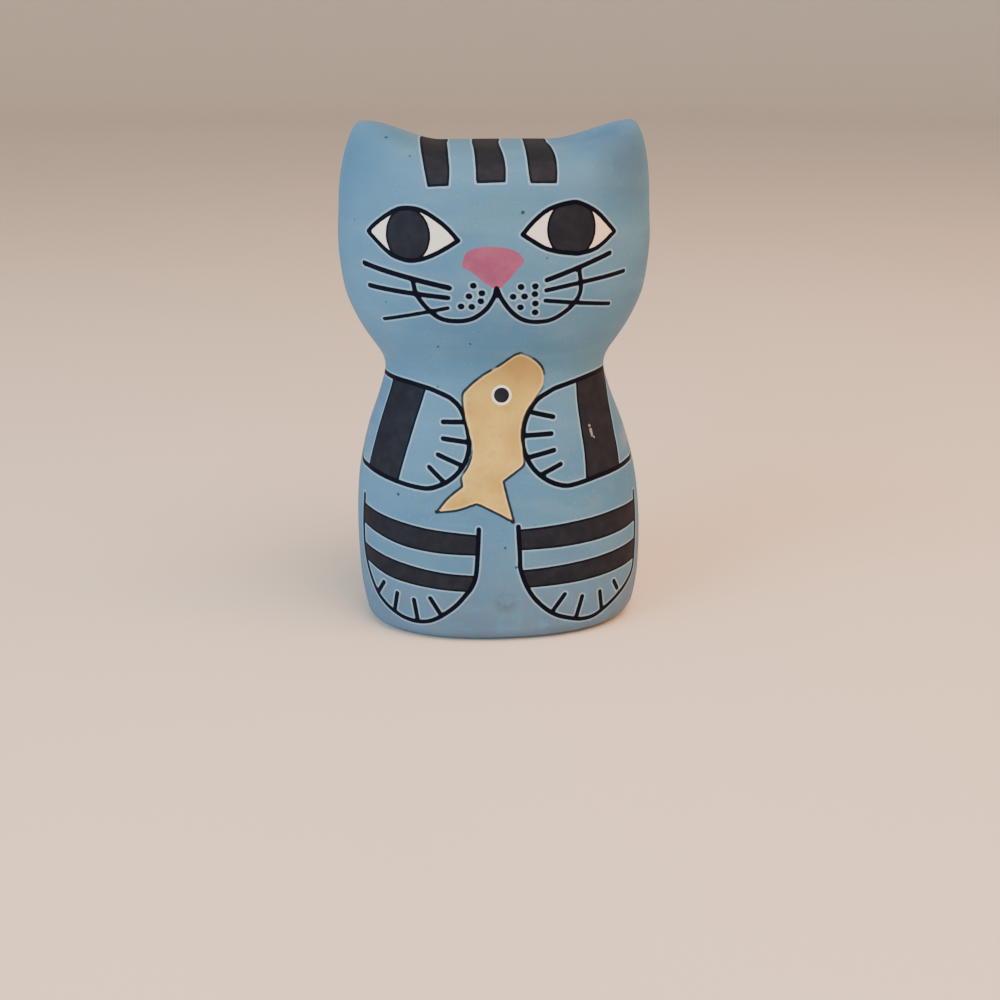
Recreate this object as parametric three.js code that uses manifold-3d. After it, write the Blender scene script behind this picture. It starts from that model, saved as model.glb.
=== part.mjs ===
// A hollow slip-cast ceramic coin bank in the form of a sitting cat, with a soft stopper in its base.
// Millimetres, +Z up. The origin is on the table, under the middle of the head, and the face looks along -Y.
import * as THREE from "three";
import { mergeVertices } from "three/addons/utils/BufferGeometryUtils.js";
import Module from "manifold-3d";

// Driving sizes of the figure
const EAR_TIP_HEIGHT = 150;
const BODY_WIDTH = 87;
const BODY_DEPTH = 61;
const BODY_SWAY = 1.6; // the foot of the hand-made body stands this far to the right of its head
const SWAY_HEIGHTS = [0.055, 0.585]; // shares of the height between which it comes back under the head
const HEAD_WIDTH = 90.9;
const HEAD_DEPTH = 64;
const NECK_FILLET = 6;
const FOOT_EDGE_LEFT = 3.4;
const FOOT_EDGE_RIGHT = 5.5;

// Wall and underside
const WALL = 3.8;
const BASE_PLATE = 4.2;
const FOOT_RECESS = 3;
const FOOT_RING_WIDTH = 4;
const FLOOR_FILLET = 5;
const EAR_FILL = 9.5; // how far the cavity stops short of each ear's tip

// Coin slot, in the back of the head
const SLOT_LENGTH = 34;
const SLOT_WIDTH = 5;
const SLOT_HEIGHT = 119;

// Coin outlet and its stopper
const OUTLET_RADIUS = 13;
const STOPPER_CLEARANCE = 0.3;
const FLANGE_OVERLAP = 2.6;
const FLANGE_THICKNESS = 1.8;
const LIP_OVERHANG = 0.9;
const LIP_HEIGHT = 2;
const LIP_TAPER = 1.4;
const THUMB_DISH_RADIUS = 8;
const THUMB_DISH_DEPTH = 1;

// Profile stations: height as a share of the ear tips' height, girth as a share of the full width or depth
const BODY_PROFILE = [
  { height: 0, girth: 0.938 }, // foot
  { height: 0.075, girth: 0.986 },
  { height: 0.15, girth: 1 }, // haunches
  { height: 0.23, girth: 0.996 },
  { height: 0.315, girth: 0.965 }, // elbows
  { height: 0.4, girth: 0.892 }, // shoulders
  { height: 0.463, girth: 0.812 },
  { height: 0.55, girth: 0.706 }, // under the jaw
  { height: 0.61, girth: 0.573 }, // hidden inside the head
];
const HEAD_PROFILE = [
  { height: 0.45, girth: 0.6 }, // hidden inside the body
  { height: 0.507, girth: 0.62 },
  { height: 0.568, girth: 0.766 }, // jaw
  { height: 0.609, girth: 0.857 },
  { height: 0.65, girth: 0.926 }, // cheeks
  { height: 0.69, girth: 0.97 },
  { height: 0.77, girth: 1 }, // eyes
  { height: 0.847, girth: 0.99 }, // brow, where the crown begins
];
const FOOT_SQUARENESS = 2.23;
const HEAD_SQUARENESS = 2.25;

// Crown: a low saddle between two ears. Sideways sizes are shares of half the head's width.
const CROWN_START = HEAD_PROFILE.at(-1).height * EAR_TIP_HEIGHT;
const CROWN_DIP = 0.04 * EAR_TIP_HEIGHT;
const LEFT_EAR = { reach: 0.837, slopeFrom: 0.315, slopeTo: 0.805, roundness: 1.67 };
const RIGHT_EAR = { reach: 0.872, slopeFrom: 0.375, slopeTo: 0.874, roundness: 1.95 };
const CROWN_FULLNESS = 3.2; // the saddle, and the upright front of each ear
const EAR_BACK_FULLNESS = 1.75; // the back of each ear slopes more

// A shallow dish in the front of each ear
const EAR_DISH_DEPTH = 0.9;
const EAR_DISH_HEIGHT = 0.945 * EAR_TIP_HEIGHT;
const EAR_DISH_SPREAD = 0.77 * (HEAD_WIDTH / 2);
const EAR_DISH_RADIUS = 0.13 * (HEAD_WIDTH / 2);

// Fineness of the faceted surface
const OUTSIDE_SEGMENTS = 60;
const OUTSIDE_RING_STEP = 5;
const CAVITY_SEGMENTS = 32;
const CAVITY_RING_STEP = 8;
const CROWN_RINGS = 11;
const STOPPER_SEGMENTS = 40;

const { clamp, lerp, smoothstep } = THREE.MathUtils;
const signedPower = (value, power) => Math.sign(value) * Math.abs(value) ** power;

// A smooth curve through a profile's stations, read at one height.
function girthAt(profile, height) {
  const share = clamp(height / EAR_TIP_HEIGHT, profile[0].height, profile.at(-1).height);
  const i = Math.max(profile.findIndex((station) => station.height >= share) - 1, 0);
  const [low, high] = [profile[i], profile[i + 1]];
  const before = profile[Math.max(i - 1, 0)];
  const beyond = profile[Math.min(i + 2, profile.length - 1)];
  const span = high.height - low.height;
  const slopeIn = ((high.girth - before.girth) / (high.height - before.height)) * span;
  const slopeOut = ((beyond.girth - low.girth) / (beyond.height - low.height)) * span;
  const t = (share - low.height) / span;
  return (
    (2 * t ** 3 - 3 * t ** 2 + 1) * low.girth +
    (t ** 3 - 2 * t ** 2 + t) * slopeIn +
    (3 * t ** 2 - 2 * t ** 3) * high.girth +
    (t ** 3 - t ** 2) * slopeOut
  );
}

// Half the figure's width or depth at a height: the body and the head are two swells, filleted at the neck.
function halfSize(height, bodySize, headSize) {
  const body = (bodySize / 2) * girthAt(BODY_PROFILE, height);
  const head = (headSize / 2) * girthAt(HEAD_PROFILE, height);
  if (height >= BODY_PROFILE.at(-1).height * EAR_TIP_HEIGHT) return head;
  if (height <= HEAD_PROFILE[0].height * EAR_TIP_HEIGHT) return body;
  const overlap = Math.max(NECK_FILLET - Math.abs(body - head), 0) / NECK_FILLET;
  return Math.max(body, head) + (overlap ** 2 * NECK_FILLET) / 4;
}

const squarenessAt = (height) => lerp(FOOT_SQUARENESS, HEAD_SQUARENESS, smoothstep(height, 0, CROWN_START));
const swayAt = (height) => BODY_SWAY * (1 - smoothstep(height / EAR_TIP_HEIGHT, ...SWAY_HEIGHTS));

// How far the rounding of a bottom edge pulls the surface in.
function edgeInset(height, bottom, radius) {
  const below = clamp(radius - (height - bottom), 0, radius);
  return radius - Math.sqrt(radius ** 2 - below ** 2);
}

// 0 on the saddle, 1 on the ears.
function earShare(x) {
  const ear = x < 0 ? LEFT_EAR : RIGHT_EAR;
  return smoothstep(Math.abs(x) / (HEAD_WIDTH / 2), ear.slopeFrom, ear.slopeTo);
}

// The outside of the figure, and the cavity that leaves the wall around it. The ears stay solid.
const OUTSIDE = {
  inset: 0,
  bottom: 0,
  edges: [FOOT_EDGE_LEFT, FOOT_EDGE_RIGHT],
  earInset: 0,
  top: (x) => EAR_TIP_HEIGHT - CROWN_DIP * (1 - earShare(x)),
  fullness: (x, isFront) => lerp(CROWN_FULLNESS, isFront ? CROWN_FULLNESS : EAR_BACK_FULLNESS, earShare(x)),
};
const CAVITY = {
  inset: WALL,
  bottom: FOOT_RECESS + BASE_PLATE,
  edges: [FLOOR_FILLET, FLOOR_FILLET],
  earInset: EAR_FILL,
  top: () => EAR_TIP_HEIGHT - CROWN_DIP - WALL,
  fullness: () => CROWN_FULLNESS,
};

// One point of a form: at a height below the crown, or at a share of the way up the crown to its ridge.
function formPoint(form, turn, height, crownShare = 0) {
  const squareness = squarenessAt(height);
  const across = signedPower(Math.cos(turn), 2 / squareness);
  const deep = signedPower(Math.sin(turn), 2 / squareness);
  const edge = lerp(...form.edges, (1 + across) / 2);
  const inset = form.inset + edgeInset(height, form.bottom, edge);
  const halfWidth = halfSize(height, BODY_WIDTH, HEAD_WIDTH) - inset;
  const halfDepth = halfSize(height, BODY_DEPTH, HEAD_DEPTH) - inset;
  const ear = across < 0 ? LEFT_EAR : RIGHT_EAR;
  const reach = ear.reach * (HEAD_WIDTH / 2) - form.earInset;
  const closing = (1 - crownShare ** ear.roundness) ** (1 / ear.roundness);
  const x = across * lerp(reach, halfWidth, closing);
  const fullness = form.fullness(x, deep < 0);
  const thinning = (1 - crownShare ** fullness) ** (1 / fullness);
  const z = lerp(height, form.top(x), crownShare);
  return new THREE.Vector3(x + swayAt(height), deep * halfDepth * thinning, z);
}

function pressEarDish(point) {
  const sideways = (Math.abs(point.x) - EAR_DISH_SPREAD) / EAR_DISH_RADIUS;
  const upward = (point.z - EAR_DISH_HEIGHT) / EAR_DISH_RADIUS;
  const depth = EAR_DISH_DEPTH * Math.exp(-(sideways ** 2 + upward ** 2));
  if (point.y < 0) point.y = Math.min(point.y + depth, 0);
}

// Ring heights: close together on the rounding of the bottom edge and through the neck.
function ringHeights(form, step) {
  const neck = ((BODY_PROFILE.at(-1).height + HEAD_PROFILE[0].height) / 2) * EAR_TIP_HEIGHT;
  const heights = [0, 0.06, 0.25, 0.55, 1].map((share) => form.bottom + share * Math.max(...form.edges));
  while (heights.at(-1) < CROWN_START - step / 2) {
    const nearNeck = Math.abs(heights.at(-1) - neck) < 2 * NECK_FILLET;
    heights.push(heights.at(-1) + (nearNeck ? step / 2 : step));
  }
  heights[heights.length - 1] = CROWN_START;
  return heights;
}

// The closed surface of a form: stacked rings, a flat disc below and a ridge along the crown.
function formGeometry(form, segments, step) {
  const turns = Array.from({ length: segments }, (_, i) => (2 * Math.PI * i) / segments);
  const rings = ringHeights(form, step).map((height) => turns.map((turn) => formPoint(form, turn, height)));
  for (let i = 1; i <= CROWN_RINGS; i++) {
    const share = Math.sin((Math.PI / 2) * (i / CROWN_RINGS));
    rings.push(turns.map((turn) => formPoint(form, turn, CROWN_START, share)));
  }
  const points = rings.flat();
  if (form === OUTSIDE) points.forEach(pressEarDish);
  const middle = points.length;
  points.push(new THREE.Vector3(swayAt(0), 0, form.bottom));
  const faces = [];
  for (let j = 0; j < segments; j++) {
    const next = (j + 1) % segments;
    faces.push(middle, next, j);
    for (let i = 0; i < rings.length - 1; i++) {
      const [low, high] = [i * segments, (i + 1) * segments];
      faces.push(low + j, low + next, high + next, low + j, high + next, high + j);
    }
  }
  return new THREE.BufferGeometry().setFromPoints(points).setIndex(faces);
}

// A flat shape, drawn in the XY plane, extruded upwards.
function prism(shape, bottom, top) {
  const settings = { depth: top - bottom, bevelEnabled: false, curveSegments: 12 };
  return new THREE.ExtrudeGeometry(shape, settings).translate(0, 0, bottom);
}

// The recess inside the foot ring.
function recessGeometry() {
  const form = { ...OUTSIDE, inset: FOOT_RING_WIDTH };
  const outline = Array.from({ length: OUTSIDE_SEGMENTS }, (_, i) => {
    const point = formPoint(form, (2 * Math.PI * i) / OUTSIDE_SEGMENTS, 0);
    return new THREE.Vector2(point.x, point.y);
  });
  return prism(new THREE.Shape(outline), -1, FOOT_RECESS);
}

function outletGeometry() {
  const circle = new THREE.Shape().absarc(0, 0, OUTLET_RADIUS, 0, 2 * Math.PI);
  return prism(circle, 0, FOOT_RECESS + 2 * BASE_PLATE);
}

// The slot, rounded at its ends and run through the back wall only.
function slotGeometry() {
  const radius = SLOT_WIDTH / 2;
  const half = SLOT_LENGTH / 2 - radius;
  const slot = new THREE.Shape()
    .absarc(half, 0, radius, -Math.PI / 2, Math.PI / 2)
    .absarc(-half, 0, radius, Math.PI / 2, 1.5 * Math.PI);
  return prism(slot, 0, HEAD_DEPTH / 2 + WALL)
    .rotateX(-Math.PI / 2)
    .translate(0, 0, SLOT_HEIGHT);
}

// The stopper's half section, from its underside to its top, turned about its axis.
function stopperGeometry() {
  const plateUnder = FOOT_RECESS - STOPPER_CLEARANCE;
  const plateOver = FOOT_RECESS + BASE_PLATE + STOPPER_CLEARANCE;
  const flangeUnder = plateUnder - FLANGE_THICKNESS;
  const flange = OUTLET_RADIUS + FLANGE_OVERLAP;
  const neck = OUTLET_RADIUS - STOPPER_CLEARANCE;
  const lip = OUTLET_RADIUS + LIP_OVERHANG;
  const section = [
    [0, flangeUnder + THUMB_DISH_DEPTH],
    [THUMB_DISH_RADIUS - THUMB_DISH_DEPTH, flangeUnder + THUMB_DISH_DEPTH],
    [THUMB_DISH_RADIUS, flangeUnder],
    [flange - FLANGE_THICKNESS / 3, flangeUnder],
    [flange, flangeUnder + FLANGE_THICKNESS / 3],
    [flange, plateUnder],
    [neck, plateUnder],
    [neck, plateOver],
    [lip, plateOver],
    [lip, plateOver + LIP_HEIGHT / 3],
    [lip - LIP_TAPER, plateOver + LIP_HEIGHT],
    [0, plateOver + LIP_HEIGHT],
  ].map(([radius, height]) => new THREE.Vector2(radius, height));
  return new THREE.LatheGeometry(section, STOPPER_SEGMENTS).rotateX(Math.PI / 2);
}

const wasm = await Module();
wasm.setup();

function solidOf(geometry) {
  const bare = geometry.clone();
  for (const name of Object.keys(bare.attributes)) {
    if (name !== "position") bare.deleteAttribute(name);
  }
  const merged = mergeVertices(bare, 1e-3);
  const vertProperties = merged.attributes.position.array;
  const triVerts = new Uint32Array(merged.index.array);
  return new wasm.Manifold(new wasm.Mesh({ numProp: 3, vertProperties, triVerts }));
}

function namedMesh(name, solid, colour, roughness) {
  const { vertProperties, triVerts } = solid.getMesh();
  const geometry = new THREE.BufferGeometry();
  geometry.setAttribute("position", new THREE.BufferAttribute(vertProperties, 3));
  geometry.setIndex(new THREE.BufferAttribute(triVerts, 1));
  geometry.computeVertexNormals();
  const material = new THREE.MeshStandardMaterial({ color: colour, roughness, metalness: 0 });
  const mesh = new THREE.Mesh(geometry, material);
  mesh.name = name;
  return mesh;
}

const figure = solidOf(formGeometry(OUTSIDE, OUTSIDE_SEGMENTS, OUTSIDE_RING_STEP));
const cavity = formGeometry(CAVITY, CAVITY_SEGMENTS, CAVITY_RING_STEP);
const ceramic = [cavity, recessGeometry(), outletGeometry(), slotGeometry()]
  .map(solidOf)
  .reduce((body, hollow) => body.subtract(hollow), figure);

const bank = new THREE.Group();
bank.name = "cat_coin_bank";
bank.add(namedMesh("ceramic_body", ceramic, 0x7d9fb4, 0.6));
bank.add(namedMesh("base_stopper", solidOf(stopperGeometry()), 0x2e2b29, 0.7));

export default bank;
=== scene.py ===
import math

import bmesh
import bpy
import numpy as np
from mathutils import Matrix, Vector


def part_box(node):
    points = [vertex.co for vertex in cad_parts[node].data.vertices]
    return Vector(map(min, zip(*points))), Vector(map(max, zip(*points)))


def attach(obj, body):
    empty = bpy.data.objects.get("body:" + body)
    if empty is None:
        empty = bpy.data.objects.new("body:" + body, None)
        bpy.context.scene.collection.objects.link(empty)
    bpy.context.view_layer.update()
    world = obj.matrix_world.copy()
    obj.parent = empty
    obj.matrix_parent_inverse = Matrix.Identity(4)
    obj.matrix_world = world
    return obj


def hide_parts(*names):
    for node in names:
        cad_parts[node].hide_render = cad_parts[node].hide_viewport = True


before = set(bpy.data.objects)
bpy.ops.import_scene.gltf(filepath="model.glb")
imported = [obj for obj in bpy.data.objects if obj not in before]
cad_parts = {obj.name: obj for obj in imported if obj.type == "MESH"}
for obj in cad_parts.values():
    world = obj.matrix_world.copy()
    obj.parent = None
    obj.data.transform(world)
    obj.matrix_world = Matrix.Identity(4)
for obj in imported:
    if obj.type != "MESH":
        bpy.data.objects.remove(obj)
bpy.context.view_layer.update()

# Camera. It stands in front of the cat, above it and a little to the viewer's left, because the cat is
# turned a few degrees towards the right in the picture. Its numbers are in millimetres and degrees.
MM = 0.001
PICTURE_WIDTH = 1000
FOCAL_PIXELS = 1500
SENSOR = 36
CAMERA_TURN = math.radians(4.66)
CAMERA_PITCH = math.radians(18.25)
CAMERA_SIDE = 1.71
CAMERA_DISTANCE = 441.5
CAMERA_HEIGHT = 181.05
camera_data = bpy.data.cameras.new("camera")
camera_data.sensor_width = SENSOR
camera_data.lens = FOCAL_PIXELS * SENSOR / PICTURE_WIDTH
camera = bpy.data.objects.new("camera", camera_data)
bpy.context.scene.collection.objects.link(camera)
camera.location = (
    (CAMERA_SIDE * math.cos(CAMERA_TURN) - CAMERA_DISTANCE * math.sin(CAMERA_TURN)) * MM,
    (-CAMERA_SIDE * math.sin(CAMERA_TURN) - CAMERA_DISTANCE * math.cos(CAMERA_TURN)) * MM,
    CAMERA_HEIGHT * MM,
)
camera.rotation_euler = (math.pi / 2 - CAMERA_PITCH, 0, -CAMERA_TURN)
bpy.context.scene.camera = camera


# Floor. A plain pale matte sheet with a faint warm grain, which the bank stands on. It curves up far away
# on all sides and grows paler there. It is not part of the object.
class Shade:
    """A shader socket in an expression. Operators add Math nodes and node() makes any other node."""

    def __init__(self, tree, socket=None):
        self.tree, self.socket = tree, socket

    def node(self, kind, settings, sockets, output=0):
        """Adds one node: its settings first, then the value or link of each named or numbered socket."""
        made = self.tree.nodes.new("ShaderNode" + kind)
        for name, value in settings.items():
            setattr(made, name, value)
        for name, value in sockets.items():
            if isinstance(value, Shade):
                self.tree.links.new(value.socket, made.inputs[name])
            else:
                made.inputs[name].default_value = value
        return Shade(self.tree, made.outputs[output])

    def math(self, operation, first, second):
        return self.node("Math", {"operation": operation}, {0: first, 1: second})

    def __add__(self, other):
        return self.math("ADD", self, other)

    def __sub__(self, other):
        return self.math("SUBTRACT", self, other)

    def __rsub__(self, other):
        return self.math("SUBTRACT", other, self)

    def __mul__(self, other):
        return self.math("MULTIPLY", self, other)

    def __truediv__(self, other):
        return self.math("DIVIDE", self, other)

    __radd__, __rmul__ = __add__, __mul__

    def min(self, other):
        return self.math("MINIMUM", self, other)

    def max(self, other):
        return self.math("MAXIMUM", self, other)

    def abs(self):
        return self.math("ABSOLUTE", self, 0)

    def ramp(self, low, high):
        """0 below low, 1 above high and smooth between. Low may be the larger of the two."""
        sockets = {"Value": self, "From Min": low, "From Max": high}
        return self.node("MapRange", {"interpolation_type": "SMOOTHSTEP"}, sockets)

    def blend(self, under, over):
        """One colour over another, with this value as the share of the upper one."""
        # A Mix node's colours are its inputs 6 and 7, and its output 2
        return self.node("Mix", {"data_type": "RGBA"}, {0: self, 6: under, 7: over}, 2)

    def noise(self, at, scale, detail, stretch=(1, 1, 1)):
        """Noise with features of about 1/scale metres, drawn out along an axis whose stretch is under 1."""
        if stretch != (1, 1, 1):
            at = self.node("VectorMath", {"operation": "MULTIPLY"}, {0: at, 1: stretch})
        return self.node("TexNoise", {}, {"Vector": at, "Scale": scale, "Detail": detail})


def paint(red, green, blue):
    """A colour from its usual 0 to 255 numbers."""
    def linear(value):
        share = value / 255
        return share / 12.92 if share <= 0.04045 else ((share + 0.055) / 1.055) ** 2.4

    return (linear(red), linear(green), linear(blue), 1)


def new_material(name):
    """An empty material, its Principled shader and the start of its expressions."""
    material = bpy.data.materials.new(name)
    material.use_nodes = True
    tree = material.node_tree
    tree.nodes.clear()
    output = tree.nodes.new("ShaderNodeOutputMaterial")
    shader = tree.nodes.new("ShaderNodeBsdfPrincipled")
    tree.links.new(shader.outputs[0], output.inputs[0])
    return material, shader, Shade(tree)


def dress(shader, shade, links, constants):
    """Links or sets the shader's sockets."""
    for name, value in links.items():
        shade.tree.links.new(value.socket, shader.inputs[name])
    for name, value in constants.items():
        shader.inputs[name].default_value = value


def new_object(name, points, faces, materials):
    """A smooth mesh object from points in millimetres."""
    mesh = bpy.data.meshes.new(name)
    mesh.from_pydata((np.asarray(points, float) * MM).tolist(), [], faces)
    for polygon in mesh.polygons:
        polygon.use_smooth = True
    for material in materials:
        mesh.materials.append(material)
    made = bpy.data.objects.new(name, mesh)
    bpy.context.scene.collection.objects.link(made)
    return made


FLOOR_RADIUS = 2200
COVE_RADIUS = 900
COVE_HEIGHT = 1400
COVE_STEPS = 12
FLOOR_SEGMENTS = 96
floor_material, shader, shade = new_material("pale_floor")
place = shade.node("TexCoord", {}, {}, "Object")
grain = shade.noise(place, 6, 3)
far_off = shade.node("VectorMath", {"operation": "LENGTH"}, {0: place}, "Value").ramp(0.7, 2.2)
near_tone = grain.blend(paint(231, 212, 196), paint(237, 218, 202))
dress(shader, shade,
      {"Base Color": far_off.blend(near_tone, paint(250, 240, 228))},
      {"Roughness": 0.75, "Specular IOR Level": 0.3})
cove = [(0, 0), (400, 0), (1300, 0), (FLOOR_RADIUS, 0)]  # distance from the middle and height
for step in range(1, COVE_STEPS + 1):
    lean = math.pi / 2 * step / COVE_STEPS
    cove.append((FLOOR_RADIUS + COVE_RADIUS * math.sin(lean), COVE_RADIUS * (1 - math.cos(lean))))
cove.append((FLOOR_RADIUS + COVE_RADIUS, COVE_HEIGHT))
floor_points = []
for radius, height in cove:
    for step in range(FLOOR_SEGMENTS):
        turn = 2 * math.pi * step / FLOOR_SEGMENTS
        floor_points.append((radius * math.cos(turn), radius * math.sin(turn), height))
floor_faces = []
for ring in range(len(cove) - 1):
    for step in range(FLOOR_SEGMENTS):
        here, beyond = ring * FLOOR_SEGMENTS, (ring + 1) * FLOOR_SEGMENTS
        after = (step + 1) % FLOOR_SEGMENTS
        floor_faces.append((here + step, beyond + step, beyond + after, here + after))
floor = new_object("floor", floor_points, floor_faces, [floor_material])


# Light. Soft cool daylight from a large window on the left, a warmer and weaker fill from above and the
# right, and the pale room around.
LIGHT_AIM = (0, 0, 70)


def soft_light(name, size, power, colour, at):
    """A round area lamp: its size in metres, its power in watts, its place in millimetres."""
    data = bpy.data.lights.new(name, "AREA")
    data.shape, data.size, data.energy, data.color = "DISK", size, power, colour
    lamp = bpy.data.objects.new(name, data)
    bpy.context.scene.collection.objects.link(lamp)
    at, aim = np.array(at) * MM, np.array(LIGHT_AIM) * MM
    lamp.location = at
    away = (at - aim) / np.linalg.norm(at - aim)
    lamp.rotation_euler = (math.acos(away[2]), 0, math.atan2(away[1], away[0]) + math.pi / 2)


soft_light("window", 1.1, 22, (0.5, 0.8, 1.0), (-980, -780, 600))
soft_light("warm_above", 1.0, 23, (1.0, 0.68, 0.44), (380, -560, 1200))
soft_light("warm_side", 0.9, 9, (1.0, 0.5, 0.25), (1150, -250, 650))
soft_light("room_front", 1.4, 3, (1.0, 0.8, 0.62), (-200, -1450, 850))
soft_light("ceiling", 1.6, 9, (1.0, 0.88, 0.76), (0, -150, 1500))
world = bpy.data.worlds.new("pale_room")
bpy.context.scene.world = world
world.use_nodes = True
room = world.node_tree.nodes["Background"]
room.inputs["Color"].default_value = (1.0, 0.87, 0.76, 1)
room.inputs["Strength"].default_value = 0.26


# Ceramic figure. The real piece is one hollow shell of slip-cast earthenware, with the coin slot cut
# through the back of its head and the coin outlet through its base. Its decoration is matte paint, laid
# on by hand after firing: charcoal bands and fine outlines on blue, and a dull gold fish.
CAD_LOW, CAD_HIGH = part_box("ceramic_body")
EAR_TIP_HEIGHT = (CAD_HIGH[2] - CAD_LOW[2]) / MM
HEAD_WIDTH = (CAD_HIGH[0] - CAD_LOW[0]) / MM
HEAD_DEPTH = (CAD_HIGH[1] - CAD_LOW[1]) / MM
BODY_WIDTH = 87
BODY_DEPTH = 61
BODY_SWAY = 1.6  # the foot stands this far to the right of the head
SWAY_HEIGHTS = (0.055, 0.585)  # the body leans between these shares of the height
NECK_FILLET = 6
FOOT_EDGES = (3.4, 5.5)  # rounding of the foot's edge, left and right
WALL = 3.8
FOOT_RECESS = 3
FLOOR_HEIGHT = 7.2
FLOOR_FILLET = 5
FOOT_RING_WIDTH = 4
EAR_FILL = 9.5  # the ears are solid this far in from their tips
OUTLET_RADIUS = 13
# Body and head: heights as shares of the whole, and the girth at each as a share of the full width or depth
BODY_HEIGHTS = (0, 0.075, 0.15, 0.23, 0.315, 0.4, 0.463, 0.55, 0.61)
BODY_GIRTHS = (0.938, 0.986, 1, 0.996, 0.965, 0.892, 0.812, 0.706, 0.573)
HEAD_HEIGHTS = (0.45, 0.507, 0.568, 0.609, 0.65, 0.69, 0.77, 0.847)
HEAD_GIRTHS = (0.6, 0.62, 0.766, 0.857, 0.926, 0.97, 1, 0.99)
FOOT_SQUARENESS = 2.23
HEAD_SQUARENESS = 2.25
CROWN_START = HEAD_HEIGHTS[-1] * EAR_TIP_HEIGHT
CROWN_DIP = 0.04 * EAR_TIP_HEIGHT
# Each ear, left and right: how far out its tip stands, where its slope begins and ends, and how round its
# shoulder is
EAR_REACH = np.array((0.837, 0.872)) * HEAD_WIDTH / 2
EAR_SLOPE_FROM = np.array((0.315, 0.375)) * HEAD_WIDTH / 2
EAR_SLOPE_TO = np.array((0.805, 0.874)) * HEAD_WIDTH / 2
EAR_ROUNDNESS = np.array((1.67, 1.95))
CROWN_FULLNESS = 3.2
EAR_BACK_FULLNESS = 1.75
EAR_DISH_DEPTH = 0.9
EAR_DISH_HEIGHT = 0.945 * EAR_TIP_HEIGHT
EAR_DISH_SPREAD = 0.77 * HEAD_WIDTH / 2
EAR_DISH_RADIUS = 0.13 * HEAD_WIDTH / 2
SLOT_LENGTH = 34
SLOT_WIDTH = 5
SLOT_HEIGHT = 119
SLOT_LIP = 0.8


def smoothstep(value, low, high):
    """0 below low, 1 above high and smooth between."""
    share = np.clip((value - low) / (high - low), 0, 1)
    return share * share * (3 - 2 * share)


def girth(heights, girths, share):
    """A smooth curve through the profile's stations."""
    heights, girths = np.array(heights, float), np.array(girths, float)
    share = np.clip(share, heights[0], heights[-1])
    i = np.clip(np.searchsorted(heights, share) - 1, 0, len(heights) - 2)
    before, beyond = np.maximum(i - 1, 0), np.minimum(i + 2, len(heights) - 1)
    span = heights[i + 1] - heights[i]
    slope_in = (girths[i + 1] - girths[before]) / (heights[i + 1] - heights[before]) * span
    slope_out = (girths[beyond] - girths[i]) / (heights[beyond] - heights[i]) * span
    t = (share - heights[i]) / span
    return (
        (2 * t**3 - 3 * t**2 + 1) * girths[i]
        + (t**3 - 2 * t**2 + t) * slope_in
        + (3 * t**2 - 2 * t**3) * girths[i + 1]
        + (t**3 - t**2) * slope_out
    )


def half_size(z, body_size, head_size):
    """Half the width or depth at a height: body and head are two swells, filleted at the neck."""
    share = np.asarray(z, float) / EAR_TIP_HEIGHT
    body = body_size / 2 * girth(BODY_HEIGHTS, BODY_GIRTHS, share)
    head = head_size / 2 * girth(HEAD_HEIGHTS, HEAD_GIRTHS, share)
    overlap = np.maximum(NECK_FILLET - np.abs(body - head), 0) / NECK_FILLET
    both = np.maximum(body, head) + overlap**2 * NECK_FILLET / 4
    return np.where(share >= BODY_HEIGHTS[-1], head, np.where(share <= HEAD_HEIGHTS[0], body, both))


def squareness(z):
    """How square the figure is at a height: 2 is an ellipse."""
    return FOOT_SQUARENESS + (HEAD_SQUARENESS - FOOT_SQUARENESS) * smoothstep(z, 0, CROWN_START)


def ear_share(x):
    """0 on the saddle, 1 on the ears."""
    side = (x > 0).astype(int)
    return smoothstep(np.abs(x), EAR_SLOPE_FROM[side], EAR_SLOPE_TO[side])


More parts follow.
